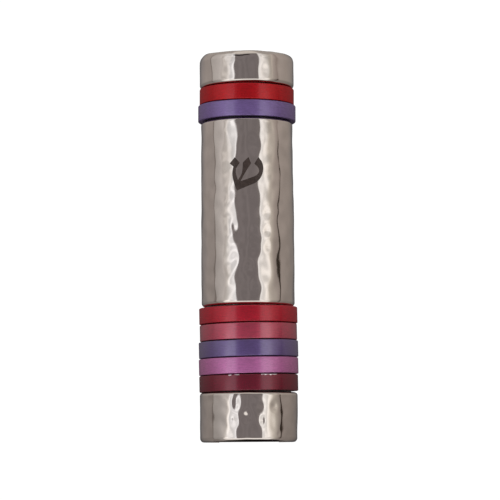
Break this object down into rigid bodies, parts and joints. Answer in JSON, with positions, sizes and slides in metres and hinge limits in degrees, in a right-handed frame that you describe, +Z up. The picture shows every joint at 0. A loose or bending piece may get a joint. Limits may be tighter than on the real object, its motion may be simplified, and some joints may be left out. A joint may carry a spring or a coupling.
{
  "type": "mezuzah case",
  "caption": "Ringed hammered-metal mezuzah case with a flat back for a doorpost, an inlaid letter shin, and a pull-out stopper that carries the rolled parchment.",
  "frame": {"origin": "centre of the back face of the mounting tape, at half the height of the case", "axes": "+Z up along the case, +Y out of the back into the doorpost, so the letter faces -Y; +X is to the right of someone facing the letter"},
  "size_m": [0.0282, 0.024, 0.11],
  "materials": {
    "hammered_metal": "hammered all over and polished",
    "upper_ring_red": "turned, anodised red, satin",
    "upper_ring_violet": "turned, anodised violet, satin",
    "lower_ring_red": "turned, anodised red, satin",
    "lower_ring_rose": "turned, anodised rose, satin",
    "lower_ring_indigo": "turned, anodised indigo, satin",
    "lower_ring_orchid": "turned, anodised orchid, satin",
    "lower_ring_burgundy": "turned, anodised burgundy, satin",
    "black_enamel": "black enamel in an engraved pocket",
    "tube_aluminium": "plain extruded, satin",
    "black_rubber": "moulded, matt",
    "parchment": "bare parchment, matt",
    "foam_tape": "white foam tape"
  },
  "bodies": {
    "case": {"core_tube": "tube_aluminium", "mounting_tape": "foam_tape", "base_sleeve": "hammered_metal", "body_sleeve": "hammered_metal", "top_cap": "hammered_metal", "upper_ring_red": "upper_ring_red", "upper_ring_violet": "upper_ring_violet", "lower_ring_red": "lower_ring_red", "lower_ring_rose": "lower_ring_rose", "lower_ring_indigo": "lower_ring_indigo", "lower_ring_orchid": "lower_ring_orchid", "lower_ring_burgundy": "lower_ring_burgundy", "shin_inlay": "black_enamel"},
    "stopper": {"stopper": "black_rubber"},
    "scroll": {"scroll": "parchment"}
  },
  "joints": [
    {"name": "stopper_pull", "type": "slide", "parent": "case", "child": "stopper", "axis": [0, 0, -1], "range_m": [0, 0.1]},
    {"name": "scroll_slide", "type": "slide", "parent": "stopper", "child": "scroll", "axis": [0, 0, 1], "range_m": [0, 0.02]}
  ]
}
